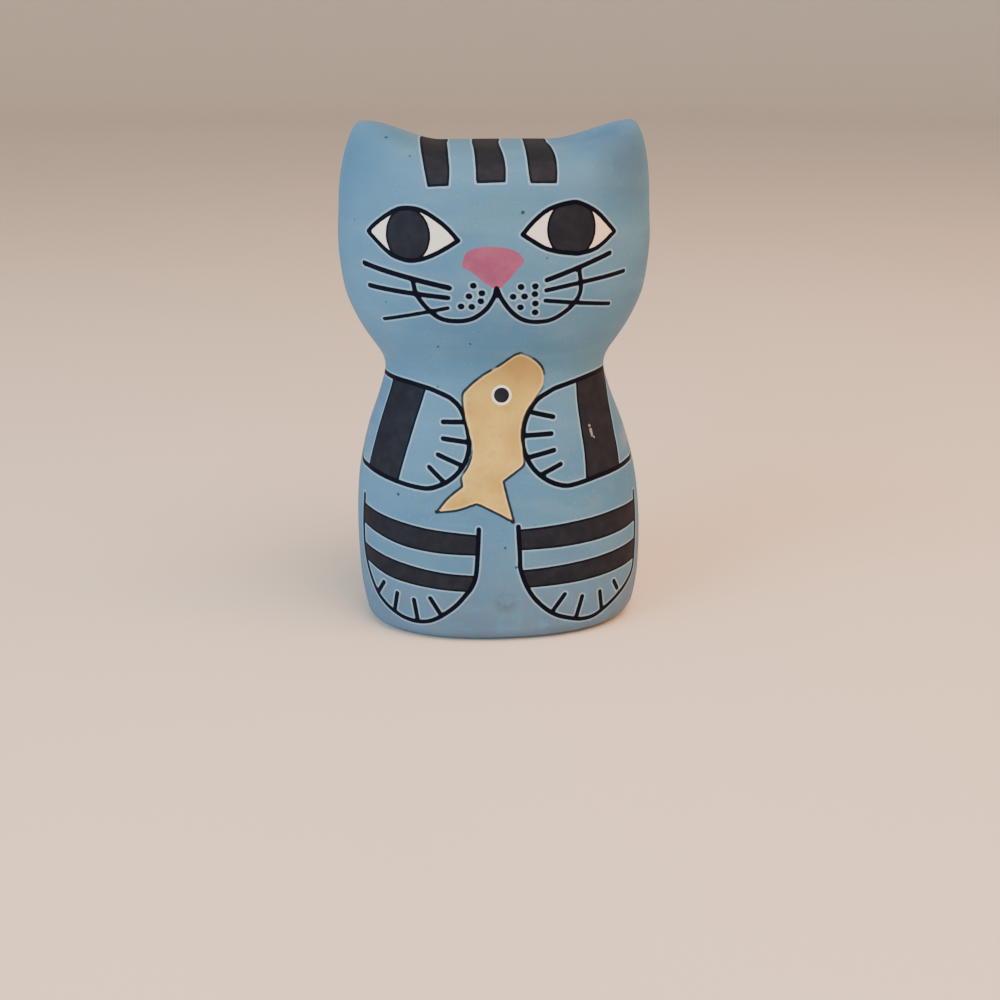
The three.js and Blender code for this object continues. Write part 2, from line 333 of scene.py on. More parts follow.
def form(turn, z, crown=0.0, inset=0.0, hollow=False):
    """Points of the outside, or of the cavity, at a height or at a share of the way up the crown."""
    turn, z, crown, inset = np.broadcast_arrays(*(np.asarray(v, float) for v in (turn, z, crown, inset)))
    square = squareness(z)
    across = np.sign(np.cos(turn)) * np.abs(np.cos(turn)) ** (2 / square)
    deep = np.sign(np.sin(turn)) * np.abs(np.sin(turn)) ** (2 / square)
    if hollow:
        edge, bottom = FLOOR_FILLET, FLOOR_HEIGHT
    else:
        edge, bottom = FOOT_EDGES[0] + (FOOT_EDGES[1] - FOOT_EDGES[0]) * (1 + across) / 2, 0
    below = np.clip(edge - (z - bottom), 0, edge)
    pull = edge - np.sqrt(edge**2 - below**2) + inset + (WALL if hollow else 0)
    half_width = half_size(z, BODY_WIDTH, HEAD_WIDTH) - pull
    half_depth = half_size(z, BODY_DEPTH, HEAD_DEPTH) - pull
    side = (across > 0).astype(int)
    reach = EAR_REACH[side] - (EAR_FILL if hollow else 0)
    closing = (1 - crown ** EAR_ROUNDNESS[side]) ** (1 / EAR_ROUNDNESS[side])
    x = across * (reach + (half_width - reach) * closing)
    ears = np.zeros_like(x) if hollow else ear_share(x)
    top = EAR_TIP_HEIGHT - CROWN_DIP * (1 - ears) - (WALL if hollow else 0)
    fullness = CROWN_FULLNESS + np.where(deep < 0, 0, EAR_BACK_FULLNESS - CROWN_FULLNESS) * ears
    y = deep * half_depth * (1 - crown**fullness) ** (1 / fullness)
    height = z + (top - z) * crown
    if not hollow:
        near = ((np.abs(x) - EAR_DISH_SPREAD) / EAR_DISH_RADIUS) ** 2
        near = near + ((height - EAR_DISH_HEIGHT) / EAR_DISH_RADIUS) ** 2
        y = np.where(y < 0, np.minimum(y + EAR_DISH_DEPTH * np.exp(-near), 0), y)
    sway = BODY_SWAY * (1 - smoothstep(z / EAR_TIP_HEIGHT, *SWAY_HEIGHTS))
    return np.stack([x + sway, y, height], -1)


def back_surface(x, z, hollow=False):
    """Depth of the back of the head at a place, outside or in the cavity."""
    wall = WALL if hollow else 0
    across = np.abs(x) / (half_size(z, BODY_WIDTH, HEAD_WIDTH) - wall)
    square = squareness(z)
    return (half_size(z, BODY_DEPTH, HEAD_DEPTH) - wall) * (1 - across**square) ** (1 / square)


# The mesh is a grid of rings and columns. Columns stand close together where the painted lines are, and
# wider on the plainer back. They are counted off along a belt round the body. The rows over the crown
# stop just short of its ridge, where front and back are joined.
FINE_COLUMN = 0.62
WIDE_COLUMN = 1.3
PAINTED_REACH = 0.16
BELT_HEIGHT = 40
RING_STEP = 0.56
FOOT_RINGS = 20
CROWN_RINGS = 58
INNER_CROWN_RINGS = 9
RIDGE_GAP = 0.25
dense = np.linspace(0, 2 * np.pi, 7201)  # far closer than the columns, to measure along the belt
belt = form(dense, np.full_like(dense, BELT_HEIGHT))
steps = np.hypot(*np.diff(belt[:, :2], axis=0).T)
has_lines = np.sin((dense[1:] + dense[:-1]) / 2) < PAINTED_REACH
spacing = np.where(has_lines, FINE_COLUMN, WIDE_COLUMN)
count = np.concatenate([[0], np.cumsum(steps / spacing)])
COLUMNS = int(round(count[-1]))
turns = np.interp(np.arange(COLUMNS) * count[-1] / COLUMNS, count, dense)


def crown_rows(rows, hollow):
    """Rows from the crown's start to its ridge, evenly spaced along each column."""
    share = 1 - (1 - np.linspace(0, 1, 500)) ** 5  # crowded towards the ridge, where the crown turns fastest
    grid = form(turns[None, :], CROWN_START, share[:, None], hollow=hollow)
    lengths = np.linalg.norm(np.diff(grid, axis=0), axis=2)
    run = np.concatenate([np.zeros((1, COLUMNS)), lengths.cumsum(axis=0)])
    found = np.empty((rows, COLUMNS, 3))
    for j in range(COLUMNS):
        wanted = np.linspace(0, run[-1, j] - RIDGE_GAP, rows + 1)[1:]
        for axis in range(3):
            found[:, j, axis] = np.interp(wanted, run[:, j], grid[:, j, axis])
    return found


foot_lean = np.linspace(0, np.pi / 2, FOOT_RINGS)
foot_heights = max(FOOT_EDGES) * (1 - np.cos(foot_lean))
side_count = int(round((CROWN_START - foot_heights[-1]) / RING_STEP))
side_heights = np.linspace(foot_heights[-1], CROWN_START, side_count + 1)[1:]
outer_heights = np.concatenate([foot_heights, side_heights])
outside = form(turns[None, :], outer_heights[:, None])
outside = np.concatenate([outside, crown_rows(CROWN_RINGS, False)])

# Underside: the rounded foot ring, the recess, the outlet and the floor inside. Each section gives how
# far a row stands beyond the ring's width or the outlet's radius, and its height.
ring_section = [(-0.7, 0), (-0.15, 0.12), (0, 0.5), (0, 2.6), (0.15, 2.9), (0.6, FOOT_RECESS)]
outlet_section = [(0.6, FOOT_RECESS), (0.15, 3.15), (0, 3.6), (0, 6.6), (0.15, 7.05), (0.6, FLOOR_HEIGHT)]
under = [form(turns, 0, inset=FOOT_RING_WIDTH + beyond) + (0, 0, height) for beyond, height in ring_section]
angle = np.arctan2(under[-1][:, 1], under[-1][:, 0])
circle = np.stack([np.cos(angle), np.sin(angle), 0 * angle], -1)


def halfway(row, reach, height):
    """A row of points halfway between another row and a circle round the outlet."""
    between = (row + circle * reach) / 2
    between[:, 2] = height
    return between


under.append(halfway(under[-1], OUTLET_RADIUS + 2, FOOT_RECESS))
for beyond, height in outlet_section:
    under.append(circle * (OUTLET_RADIUS + beyond) + (0, 0, height))
under.append(halfway(form(turns, FLOOR_HEIGHT, hollow=True), OUTLET_RADIUS, FLOOR_HEIGHT))
fillet_heights = FLOOR_HEIGHT + FLOOR_FILLET * (1 - np.cos(np.linspace(0, np.pi / 2, 5)))
INNER_HEIGHTS = [*fillet_heights, 26, 40, 52, 60, 67, 74, 84, 96, 106, 114, 124]
inside = form(turns[None, :], np.array(INNER_HEIGHTS)[:, None], hollow=True)
inside = np.concatenate([inside, crown_rows(INNER_CROWN_RINGS, True)])
rows = np.concatenate([outside[::-1], np.array(under), inside])
ROWS = len(rows)
points = rows.reshape(-1, 3).tolist()
front_first = int(np.argmin(np.abs(turns - np.pi)))

# Coin slot. A hole is left in both grids round its place, and rings of points close the hole down to the
# slot.
HOLE_BEYOND_ENDS = 4
HOLE_HALF_HEIGHT = 6.2
foot_row = rows[len(outside) - 1]
back_columns = [
    j for j in range(COLUMNS)
    if turns[j] < np.pi and abs(foot_row[j, 0]) < SLOT_LENGTH / 2 + HOLE_BEYOND_ENDS
]
slot_columns = range(min(back_columns), max(back_columns))


def hole_rows(first, heights):
    """The rows of a grid whose cells the slot's hole takes out."""
    low, high = SLOT_HEIGHT - HOLE_HALF_HEIGHT, SLOT_HEIGHT + HOLE_HALF_HEIGHT
    cells = [i for i, ends in enumerate(zip(heights, heights[1:])) if low < min(ends) and max(ends) < high]
    return range(first + min(cells), first + max(cells) + 1)


outer_rows = hole_rows(0, [*([EAR_TIP_HEIGHT] * CROWN_RINGS), *outer_heights[::-1]])
inner_start = len(outside) + len(under)
inner_rows = hole_rows(inner_start, [*INNER_HEIGHTS, CROWN_START])
faces = []
for i in range(ROWS - 1):
    holed = i in outer_rows or i in inner_rows
    for j in range(COLUMNS):
        if holed and j in slot_columns:
            continue
        k = (j + 1) % COLUMNS
        a, b, c, d = i * COLUMNS + j, i * COLUMNS + k, (i + 1) * COLUMNS + k, (i + 1) * COLUMNS + j
        faces.append((a, d, c, b))


def zip_rows(first, second, along_first, along_second):
    """Triangles between two rows of points, each with its growing measure of how far along a point is."""
    made, i, j = [], 0, 0
    while i < len(first) - 1 or j < len(second) - 1:
        if j == len(second) - 1 or (i < len(first) - 1 and along_first[i + 1] <= along_second[j + 1]):
            made.append((first[i], first[i + 1], second[j]))
            i += 1
        else:
            made.append((first[i], second[j + 1], second[j]))
            j += 1
    return [face for face in made if len(set(face)) == 3]


# The ridge of the crown, outside and in the cavity: the front edge is joined to the back edge
for row, flip in ((0, False), (ROWS - 1, True)):
    back = [row * COLUMNS + j for j in range(front_first + 1)][::-1]
    front = [row * COLUMNS + j % COLUMNS for j in range(front_first, COLUMNS + 1)]
    for face in zip_rows(front, back, [points[p][0] for p in front], [points[p][0] for p in back]):
        faces.append(face[::-1] if flip else face)


def hole_loop(hole):
    """The points round the hole in one grid, in order."""
    columns = list(slot_columns) + [slot_columns[-1] + 1]
    lines = list(hole) + [hole[-1] + 1]
    loop = [lines[0] * COLUMNS + j for j in columns]
    loop += [i * COLUMNS + columns[-1] for i in lines[1:]]
    loop += [lines[-1] * COLUMNS + j for j in columns[-2::-1]]
    loop += [i * COLUMNS + columns[0] for i in lines[-2:0:-1]]
    return loop


def stadium(loop, offset, depth, hollow=False):
    """A ring of points round the slot, one for each point of a loop, sunk into the wall by a depth."""
    at = np.array([points[p] for p in loop])
    half = (SLOT_LENGTH - SLOT_WIDTH) / 2
    centre = np.clip(at[:, 0], -half, half)
    away = np.stack([at[:, 0] - centre, at[:, 2] - SLOT_HEIGHT], -1)
    away /= np.linalg.norm(away, axis=1)[:, None]
    x = centre + away[:, 0] * (SLOT_WIDTH / 2 + offset)
    z = SLOT_HEIGHT + away[:, 1] * (SLOT_WIDTH / 2 + offset)
    y = back_surface(x, z, hollow) + (depth if hollow else -depth)
    first = len(points)
    points.extend(np.stack([x, y, z], -1).tolist())
    return list(range(first, first + len(loop)))


def join_rings(outer, inner):
    """A closed band of faces between two rings of as many points."""
    for i in range(len(outer)):
        k = (i + 1) % len(outer)
        faces.append((outer[i], inner[i], inner[k], outer[k]))


LIP_APRON = 1.9
INNER_LIP = 0.5
loop = hole_loop(outer_rows)
rings = [loop, stadium(loop, LIP_APRON, 0)]
for lean in np.linspace(0, math.pi / 2, 7):
    rings.append(stadium(loop, SLOT_LIP * (1 - math.sin(lean)), SLOT_LIP * (1 - math.cos(lean))))
for outer, inner in zip(rings, rings[1:]):
    join_rings(outer, inner)
tunnel = [stadium(loop, 0, INNER_LIP, True), stadium(loop, INNER_LIP, 0, True)]
for outer, inner in zip([rings[-1], *tunnel], tunnel):
    join_rings(outer, inner)
slot_first = rings[1][0]
BEARING_STRETCH = 4


def round_slot(ring):
    """A ring of points put in order round the slot, closed, and the angle of each. Heights are stretched,
    so that the angles spread evenly round the long slot."""
    def bearing(p):
        return math.atan2(BEARING_STRETCH * (points[p][2] - SLOT_HEIGHT), points[p][0])

    ring = sorted(ring, key=bearing)
    return ring + ring[:1], [bearing(p) for p in ring] + [bearing(ring[0]) + 2 * math.pi]


inner_loop, loop_bearings = round_slot(hole_loop(inner_rows))
last_ring, ring_bearings = round_slot(tunnel[-1])
faces.extend(zip_rows(inner_loop, last_ring, loop_bearings, ring_bearings))

# The points inside the two holes carry no face, and are dropped
points = np.array(points)
used = np.zeros(len(points), bool)
for face in faces:
    used[list(face)] = True
number = np.cumsum(used) - 1
faces = [tuple(int(number[p]) for p in face) for face in faces]
outer_count = len(outside) * COLUMNS
is_outside = np.zeros(len(points), bool)
is_outside[:outer_count] = True
is_outside[slot_first:rings[-1][0]] = True
points, is_outside = points[used], is_outside[used]

# Painting. It is laid out on a chart of the surface, in millimetres: u runs round the figure from the
# middle of its front, and v is the height. The whole painting sits a little left of the middle and low.
# Each outline has only the points that its shape needs.
DEPTH_SHARE = HEAD_DEPTH / HEAD_WIDTH
PAINTING_MIDDLE = -0.3
PAINTING_LOW = -0.2
sideways, upwards = points[:, 0] - PAINTING_MIDDLE, points[:, 2] - PAINTING_LOW
turn = np.arctan2(sideways, -points[:, 1] / DEPTH_SHARE)
radius = np.hypot(sideways, points[:, 1] / DEPTH_SHARE)
chart = np.stack([
    radius * ((1 + DEPTH_SHARE) / 2 * turn + (1 - DEPTH_SHARE) / 4 * np.sin(2 * turn)),
    upwards,
], -1)
FAR = 99.0


def smooth_line(points, steps=6):
    """A smooth open curve through the given points."""
    points = np.array(points, float)
    if len(points) == 2:
        return points
    ends = np.concatenate([[2 * points[0] - points[1]], points, [2 * points[-1] - points[-2]]])
    made = []
    for a, b, c, d in zip(ends, ends[1:], ends[2:], ends[3:]):
        for t in np.arange(steps) / steps:
            made.append(0.5 * (2 * b + (c - a) * t + (2 * a - 5 * b + 4 * c - d) * t**2
                               + (3 * b - a - 3 * c + d) * t**3))
    return np.array(made + [points[-1]])


def follow(line, at, reach=6.0):
    """How far each place is from a line, and how far along it the nearest point lies."""
    line = np.array(line, float)
    near = np.all((at > line.min(axis=0) - reach) & (at < line.max(axis=0) + reach), axis=1)
    place = at[near]
    best, along = np.full(len(place), FAR), np.zeros(len(place))
    run = 0.0
    for a, b in zip(line, line[1:]):
        way = b - a
        length = max(np.hypot(*way), 1e-9)
        share = np.clip((place - a) @ way / length**2, 0, 1)
        away = np.hypot(*(place - a - share[:, None] * way).T)
        nearer = away < best
        best, along = np.where(nearer, away, best), np.where(nearer, run + share * length, along)
        run += length
    found, found_along = np.full(len(at), FAR), np.zeros(len(at))
    found[near], found_along[near] = best, along
    return found, found_along


def distance(line, at):
    """How far each place is from a line."""
    return follow(line, at)[0]


def stroke(points, width):
    """Signed distance to a brush stroke: below zero on the paint."""
    return distance(smooth_line(points), chart) - width / 2


def region(*sides, at=None):
    """Signed distance to a painted area whose outline is smooth sides that meet in corners."""
    at = chart if at is None else at
    outline = np.concatenate([smooth_line(side) for side in sides])
    outline = np.concatenate([outline, outline[:1]])
    away = distance(outline, at)
    odd = np.zeros(len(at), bool)
    for (ax, ay), (bx, by) in zip(outline, outline[1:]):
        if ay != by:
            crosses = (at[:, 1] > min(ay, by)) & (at[:, 1] <= max(ay, by))
            odd ^= crosses & (at[:, 0] < ax + (at[:, 1] - ay) * (bx - ax) / (by - ay))
    return np.where(odd, -away, away)


LINE = 1.4
line, fill = np.full(len(points), FAR), np.full(len(points), FAR)


def draw(*distances):
    """Adds fine ink lines to the painting."""
    global line
    for one in distances:
        line = np.minimum(line, one)


def flood(*distances):
    """Adds charcoal areas to the painting."""
    global fill
    for one in distances:
        fill = np.minimum(fill, one)


# Eyes: white almonds in a fine outline, with large dark pupils
left_lids = (
    [(-38.8, 121.9), (-35.9, 124.4), (-30.4, 127.9), (-26.6, 128.9), (-22, 128.3), (-16.2, 124.8),
     (-12, 120.5)],
    [(-12, 120.5), (-15.9, 118.1), (-20.6, 115.8), (-25.1, 114.7), (-28.8, 115.2), (-32.2, 116.7),
     (-38.8, 121.9)],
)
right_lids = (
    [(5.6, 122), (9, 125.7), (13.1, 128.7), (19.5, 130.3), (23, 129.6), (27.7, 127), (33.4, 121.6)],
    [(33.4, 121.6), (27.9, 117.8), (23.2, 116.5), (19.6, 116.5), (12.4, 118), (5.6, 122)],
)
EYE_LINE = 1.3
left_white = region(*left_lids)
right_white = region(*right_lids)
eye_white = np.minimum(left_white, right_white)
draw(np.abs(left_white) - EYE_LINE / 2, np.abs(right_white) - EYE_LINE / 2)


def pupil(u, v, half_width, half_height):
    """Signed distance to an upright oval on the front, near enough close to its edge."""
    away = np.hypot((chart[:, 0] - u) / half_width, (chart[:, 1] - v) / half_height)
    return np.where(points[:, 1] < 0, (away - 1) * min(half_width, half_height), FAR)


flood(np.maximum(pupil(-26.3, 121.6, 6.6, 7.6), left_white),
      np.maximum(pupil(19.7, 123.2, 7.3, 8.1), right_white))

# Nose, mouth, whiskers and the dots beside the mouth
nose = region([(-11, 113.7), (-10.2, 116.6), (-7.9, 118.3), (-2.2, 118.8), (3, 117.9), (6, 115.1),
               (4.2, 112.4), (0.4, 108), (-1.4, 107.2), (-3.2, 107.8), (-8.5, 111.9), (-10.7, 113.1),
               (-11, 113.7)])
draw(stroke([(-25, 109.2), (-23.8, 105), (-20.2, 100.7), (-16.7, 98.4), (-12.4, 97.8), (-8.1, 98.6),
             (-4.4, 101.3), (-2.2, 104.8), (-1.5, 107.4)], 1.35),
     stroke([(-1.5, 107.4), (0.2, 103.9), (3.1, 100.2), (6.3, 98), (10.1, 97.3), (14.2, 97.8), (18.1, 99.9),
             (21.1, 102.7), (22.7, 106.2), (22, 112.3)], 1.3))
for *whisker, width in (
    ((-40.6, 112.9), (-14.5, 107.4), 1.5),
    ((-39, 106.7), (-14.9, 104.6), 1.4),
    ((-34.5, 97.1), (-14.9, 101.7), 1.1),
    ((12.5, 109.3), (31.9, 115.8), 1.4),
    ((12.2, 103.5), (32.5, 101.1), 1.2),
    ((12.4, 106.4), (22.4, 108.1), (37.5, 110.1), 1.25),
):
    draw(stroke(whisker, width))
DOT_WIDTH = 1.75
for u, v in ((-8, 108.1), (-5.6, 106), (-9.2, 105.1), (-5.9, 103.7), (-11.4, 102.2), (-8.4, 102.1),
             (5.2, 107.6), (9.2, 107.7), (3, 104.9), (6.2, 104.9), (9.1, 105.5), (9.3, 102.8), (5.1, 101.8),
             (9.3, 100.2)):
    draw(stroke([(u, v), (u + 0.2, v)], DOT_WIDTH))

# Three stripes run down the forehead from the crown, and on over the back of the head towards the slot.
# Their chart is x across, and the way over the crown, measured as the turn about a line through the head.
OVER_CENTRE = 120
OVER_RADIUS = 30
over = np.stack([sideways, OVER_RADIUS * np.arctan2(upwards - OVER_CENTRE, -points[:, 1])], -1)
flood(
    region([(-20, 14.2), (-14.3, 14)],
           [(-14.3, 14), (-13.9, 18), (-13.9, 24.5), (-13.4, 43), (-12.6, 57), (-13, 80)],
           [(-13, 80), (-20, 81)],
           [(-20, 81), (-20.3, 57), (-21, 44), (-21.4, 29.5), (-21, 21), (-20, 14.2)], at=over),
    region([(-6.9, 14.3), (1.1, 14.4)],
           [(1.1, 14.4), (1.3, 19.6), (0.9, 30), (1.3, 43), (2.4, 57), (2.6, 82)],
           [(2.6, 82), (-4.6, 81.5)],
           [(-4.6, 81.5), (-5.5, 57), (-6.3, 43), (-6.8, 22), (-6.9, 14.3)], at=over),
    region([(7.7, 14.2), (14.8, 14.4)],
           [(15.1, 14.4), (15.4, 17.5), (15.5, 22), (15.2, 30.5), (15, 43), (15.8, 57), (16, 80.5)],
           [(16, 80.5), (9.6, 81)],
           [(9.6, 81), (9.1, 57), (8.4, 43), (7.6, 28), (7.4, 18.8), (7.7, 14.2)], at=over),
)

# The back is plainer: only a tail lies up it, outlined, with three bands and a dark tip
TAIL_HALF_WIDTH = 6
TAIL_REACH = 14
TAIL_BANDS = ((23, 31), (42, 50), (61, 69), (80, 100))
behind = np.where(points[:, 1:2] > 0, points[:, [0, 2]], FAR * 3)
tail_line = smooth_line([(6, -6), (13, 8), (15, 20), (10, 31), (-1, 38), (-9, 46), (-12, 57), (-8, 67)])
tail, tail_run = follow(tail_line, behind, TAIL_REACH)
tail = np.clip(tail - TAIL_HALF_WIDTH, -FAR, FAR)
for start, end in TAIL_BANDS:
    flood(np.maximum(tail, np.abs(tail_run - (start + end) / 2) - (end - start) / 2))

# Arms: each is outlined, with a broad charcoal band at the wrist and short strokes between the fingers
def limb(outline, bands, digits, closed=False):
    """An outlined arm or leg: its bands are cut off at its outline, and short strokes part its digits."""
    if closed:
        outline = outline + outline[:1]
    draw(stroke(outline, LINE))
    inside = region(outline)
    for sides in bands:
        flood(np.maximum(region(*sides), inside))
    for ends in digits:
        draw(stroke(ends, LINE))


limb(
    [(-54.5, 64), (-53, 70.5), (-49, 75.4), (-42.2, 77.7), (-29.4, 77.7), (-21.7, 76.7), (-17.5, 75.5),
     (-14.1, 74), (-11.5, 71.5), (-10, 67.9), (-9.1, 62.9), (-9.2, 59.9), (-10.3, 56.3), (-12.7, 53),
     (-15.9, 50.4), (-19.4, 48.8), (-22.1, 48.2), (-26.3, 48.5), (-30.7, 49.1), (-43.3, 51.1), (-49.5, 51.9),
     (-53.6, 56.8)],
    [([(-34.3, 80), (-34.3, 76.6), (-37.8, 67.8), (-40.7, 59.6), (-43.2, 51.9), (-44, 46)],
      [(-30, 46), (-30.8, 49.6), (-26.1, 63.9), (-21.9, 75.5), (-21, 80)])],
    [[(-16.6, 67.4), (-10.3, 67.6)], [(-16.7, 62.8), (-9.6, 62)], [(-18.3, 58.2), (-11.6, 55.5)],
     [(-21, 54.5), (-16.7, 50.5)]],
    closed=True,
)
limb(
    [(54.5, 65), (53, 71.4), (48.6, 76.4), (40.3, 78.5), (29.8, 78.6), (18.2, 76.7), (14.5, 75.4),
     (11.2, 73.6), (9, 71), (7.3, 67.6), (6.5, 63.9), (6.5, 60.6), (7.7, 57), (9.7, 53.9), (12.4, 51.4),
     (15.3, 49.7), (18.7, 48.6), (22.1, 48.6), (31.1, 50), (43.2, 51.2), (49.4, 51.9), (53.6, 57)],
    [([(23.6, 82), (23.6, 76), (23.9, 70.6), (24.8, 63.1), (25.7, 56.4), (26.1, 46)],
      [(39.8, 46), (39.4, 55.2), (38.4, 61.7), (38.1, 69.6), (39.3, 75.8), (40, 82)])],
    [[(15.8, 68.3), (9.2, 70)], [(15.1, 63.7), (7.3, 63.6)], [(15.8, 59), (8.4, 57.5)],
     [(17.8, 54.9), (12, 52.4)]],
    closed=True,
)

# Legs: outlined feet seen from the front, each with two bands and short strokes between the toes
limb(
    [(-45.4, 42.3), (-46.1, 33.3), (-46, 26.7), (-44.7, 21), (-42.5, 16.4), (-39.6, 12.2), (-36.2, 9.4),
     (-33, 7.7), (-29.7, 6.5), (-25.9, 6), (-22.2, 6.5), (-19.2, 7.9), (-16.3, 10), (-13.4, 12.6),
     (-10.8, 15.8), (-8.8, 18.6), (-7.6, 22), (-7.1, 27), (-6.6, 36.7)],
    [([(-50, 40.4), (-45.5, 39.8), (-37.5, 38.4), (-23.5, 36.4), (-14.8, 35.6), (-5, 34.8)],
      [(-5, 28.6), (-16.4, 28.8), (-23.6, 29.3), (-31.4, 30.3), (-45.6, 33.5), (-50, 34.6)]),
     ([(-50, 28.4), (-45.8, 27.4), (-32.2, 24.9), (-17.9, 22.9), (-5, 22.2)],
      [(-5, 17), (-17.9, 17.4), (-30, 18.5), (-35.8, 19.4), (-44.4, 21.8), (-50, 23.4)])],
    [[(-37, 16.8), (-39.8, 12.5)], [(-32.1, 14.4), (-33.3, 8.2)], [(-26.5, 13.2), (-25.4, 6.5)],
     [(-21.3, 14.4), (-17.9, 8.9)]],
)
limb(
    [(4.9, 37.3), (5.4, 28.1), (5.5, 24.9), (6.3, 21.7), (8, 17.6), (10.2, 14.2), (13.4, 10.9), (16.6, 8.6),
     (20.7, 7), (25.2, 5.9), (29.6, 6.2), (33.9, 8.1), (38.7, 10.8), (42.9, 13.5), (46.5, 16.9), (47.6, 22),
     (47.9, 34.9), (47.6, 41.4)],
    [([(3, 36.3), (13.1, 36.9), (28.7, 38.1), (37.3, 38.8), (50, 39.2)],
      [(50, 32.8), (36.3, 31.3), (20.2, 30.3), (3, 30)]),
     ([(3, 23.7), (11, 24.1), (28.9, 25.4), (46.7, 27), (50, 27.4)],
      [(50, 20.8), (37.6, 19.6), (23, 18.6), (3, 18)])],
    [[(19.3, 15.1), (15.7, 10.2)], [(25.1, 13.6), (23.4, 7.3)], [(31.4, 14), (32.4, 7.7)],
     [(36.9, 16.1), (38.6, 13.2)]],
)

# Fish, held between the paws
fish = region(
    [(5.9, 87.6), (8.8, 86.2), (11.5, 83.9), (12.8, 81.5), (13, 78.9), (12.2, 76.4), (9, 72.1), (7.5, 69.8),
     (6.4, 66.8), (6, 63.1), (6.7, 56.6), (6.2, 54.9)],
    [(6.2, 54.9), (0.5, 50.8)],
    [(0.5, 50.8), (1.8, 45.3), (3.5, 38.8)],
    [(3.5, 38.8), (-1, 41.4), (-6.6, 44.2), (-8.4, 44), (-12.6, 42.5), (-18.8, 41.5)],
    [(-18.8, 41.5), (-15.4, 45.7), (-11.1, 49.3)],
    [(-11.1, 49.3), (-11.3, 52.1), (-9.6, 54.8), (-8.3, 58.3), (-8.3, 61.7), (-9.9, 68.4), (-10.5, 71.8),
     (-10.6, 74.5), (-9.9, 76.3), (-5.4, 80.4), (0.2, 84), (3.9, 86.8), (5.9, 87.6)],
)
fish = np.where(points[:, 1] < 0, fish, FAR)

body = new_object("cat_figure", points, faces, [])
layers = {"line": line, "fill": fill, "eye_white": eye_white, "nose": nose, "fish": fish, "tail": tail}
layers = {name: np.where(is_outside, np.clip(away, -FAR, FAR), FAR) for name, away in layers.items()}
layers["bare"] = np.where(is_outside, 0, 1)
for name, values in layers.items():
    stored = body.data.attributes.new(name, "FLOAT", "POINT")
    stored.data.foreach_set("value", values.astype(np.float32))

# Its finish. The layers of paint go over each other as they were brushed on.
painted_ceramic, shader, shade = new_material("painted_ceramic")
place = shade.node("TexCoord", {}, {}, "Object")


def stored_value(name):
    """The signed distance in millimetres that the mesh holds for a layer of paint."""
    return shade.node("Attribute", {"attribute_name": name}, {}, "Fac")


PAINT_EDGE = 0.1
wobble = (shade.noise(place, 700, 3) - 0.5) * 0.3
height = shade.node("SeparateXYZ", {}, {0: place}, "Z") / MM
aside = shade.node("SeparateXYZ", {}, {0: place}, "X").abs() / MM


def painted_within(distance, softness=PAINT_EDGE):
    """1 on the paint, 0 off it, with a hand-painted edge."""
    return (distance + wobble).ramp(softness, -softness)


def on_front(u, v):
    """The point of the surface at a place on the chart, in metres."""
    away = np.hypot(chart[:, 0] - u, chart[:, 1] - v) + FAR * (points[:, 1] > 0) + FAR * ~is_outside
    return tuple(float(c) for c in points[np.argmin(away)] * MM)


def from_spot(at):
    """Distance in millimetres from a point of the surface."""
    return shade.node("VectorMath", {"operation": "DISTANCE"}, {0: place, 1: at}, "Value") / MM


def spots(*places):
    """Signed distance to round spots, each given as its place on the chart and its radius."""
    edges = [from_spot(on_front(u, v)) - size for u, v, size in places]
    nearest = edges[0]
    for edge in edges[1:]:
        nearest = nearest.min(edge)
    return nearest


# Blue ground: thinned paint, a little cloudy, brushed across, and specked
BLUE, PALE_BLUE, BRUSHED_BLUE, GREY_BLUE = (
    paint(72, 114, 148), paint(84, 126, 157), paint(102, 140, 164), paint(98, 122, 136))
DARK_SPECK, LIGHT_SPECK = paint(58, 96, 128), paint(124, 160, 180)
cloud = shade.noise(place, 28, 3)
brushing = shade.noise(place, 110, 3, (0.4, 0.4, 1.6))
mottle = shade.noise(place, 300, 4)
speckle = shade.noise(place, 1500, 2)
colour = cloud.ramp(0.3, 0.7).blend(BLUE, PALE_BLUE)
colour = (brushing.ramp(0.45, 0.75) * 0.3).blend(colour, BRUSHED_BLUE)
colour = (mottle.ramp(0.5, 0.75) * 0.35).blend(colour, GREY_BLUE)
colour = (speckle.ramp(0.6, 0.75) * 0.3).blend(colour, DARK_SPECK)
colour = (speckle.ramp(0.36, 0.26) * 0.3).blend(colour, LIGHT_SPECK)

# Marks on the ground: greyer and darker towards the foot, a painted sheen on the sides below the arms' tops,
# painted shade in the hollow of each ear, and a smudge between the feet
FOOT_GREY, SHEEN_PALE, SMUDGE = paint(92, 101, 119), paint(150, 148, 148), paint(72, 84, 98)
RIGHT_EAR_SHADE, LEFT_EAR_SHADE = paint(58, 84, 112), paint(54, 98, 132)
# Greyer and darker towards the foot
foot_greying = height.ramp(40, 3) * mottle.ramp(0.2, 0.6)
colour = (foot_greying * 0.55).blend(colour, FOOT_GREY)
# Painted sheen: the sides below the arms' tops are paler where light catches them
side_sheen = aside.ramp(35, 42) * height.ramp(48, 58) * height.ramp(86, 78) * brushing.ramp(0.3, 0.6)
colour = (side_sheen * 0.55).blend(colour, SHEEN_PALE)
# Painted shade in the hollow in front of the right ear's tip
right_ear_shade = from_spot(on_front(38, 142)).ramp(19, 3) * mottle.ramp(0, 0.5)
colour = (right_ear_shade * 0.6).blend(colour, RIGHT_EAR_SHADE)
# Painted shade in the hollow in front of the left ear's tip
left_ear_shade = from_spot(on_front(-38, 144)).ramp(17, 4)
colour = (left_ear_shade * 0.45).blend(colour, LEFT_EAR_SHADE)
smudge = from_spot(on_front(1.1, 13.4)).ramp(4.4, 1.2) * mottle.ramp(0.4, 0.6)
colour = (smudge * 0.5).blend(colour, SMUDGE)

